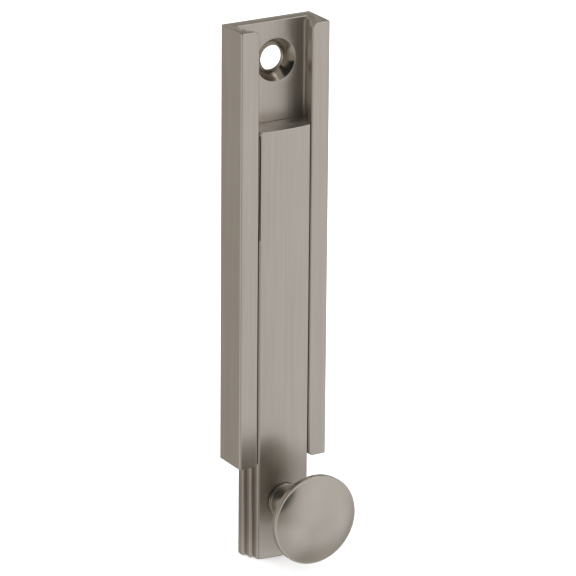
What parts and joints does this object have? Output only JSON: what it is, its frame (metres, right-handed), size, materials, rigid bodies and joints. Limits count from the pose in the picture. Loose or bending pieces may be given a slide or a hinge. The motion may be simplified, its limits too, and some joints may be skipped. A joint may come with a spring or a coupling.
{
  "type": "surface bolt",
  "caption": "Surface bolt: a stepped bar with a mushroom knob slides in an open channel that hides its fixing screws.",
  "frame": {"origin": "centre of the channel's flat back face, which lies against the door", "axes": "+Z along the bolt, away from the end that is thrown; +Y out of the back face, into the door; +X to the right as seen from the front"},
  "size_m": [0.0224, 0.0261, 0.1241],
  "materials": {
    "satin_nickel": "satin nickel plate on brass, brushed along the length",
    "turned_nickel": "satin nickel plate on turned brass",
    "zinc_steel": "bright zinc plated steel",
    "spring_bronze": "bare phosphor bronze spring strip",
    "steel_pin": "ground steel dowel"
  },
  "bodies": {
    "channel": {"channel_body": "satin_nickel", "stop_pin": "steel_pin"},
    "bolt": {"sliding_bolt": "satin_nickel", "knob": "turned_nickel", "knob_collar": "turned_nickel", "knob_screw": "zinc_steel", "knob_lock_washer": "zinc_steel", "friction_strip": "spring_bronze"}
  },
  "joints": [
    {"name": "bolt_slide", "type": "slide", "parent": "channel", "child": "bolt", "axis": [0, 0, 1], "range_m": [-0.00265, 0.04815]}
  ]
}
